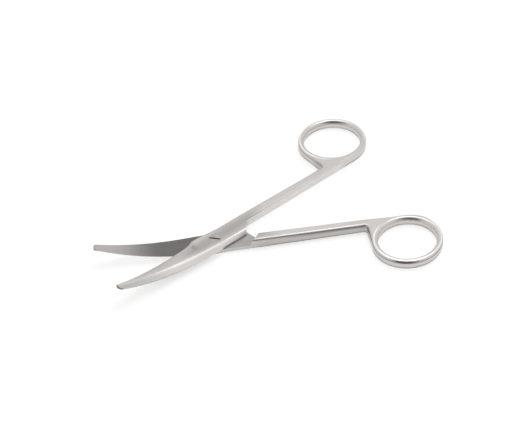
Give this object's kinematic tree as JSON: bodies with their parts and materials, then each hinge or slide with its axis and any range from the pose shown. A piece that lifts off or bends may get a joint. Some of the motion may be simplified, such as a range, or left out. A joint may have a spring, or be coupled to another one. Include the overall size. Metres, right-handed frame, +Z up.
{
  "type": "dissecting scissors",
  "caption": "Curved blunt-tipped dissecting scissors in satin steel, lap-jointed on a slotted screw, with oval finger rings, lying open.",
  "frame": {"origin": "on the axis of the pivot screw, at the level that the scissors lie on", "axes": "+X from the screw towards the finger rings, along the line that halves the opening; +Y towards the upper half's ring; +Z up, away from the surface, the way the blades curve"},
  "size_m": [0.1374, 0.0968, 0.0114],
  "materials": {
    "forged_steel": "satin",
    "screw_steel": "satin"
  },
  "bodies": {
    "lower": {"lower_half": "forged_steel", "pivot_screw": "screw_steel"},
    "upper": {"upper_half": "forged_steel"}
  },
  "joints": [
    {"name": "pivot", "type": "hinge", "parent": "lower", "child": "upper", "pos_m": [0, 0, 0.00255], "axis": [0, 0, 1], "range_deg": [-29.8, 114]}
  ]
}
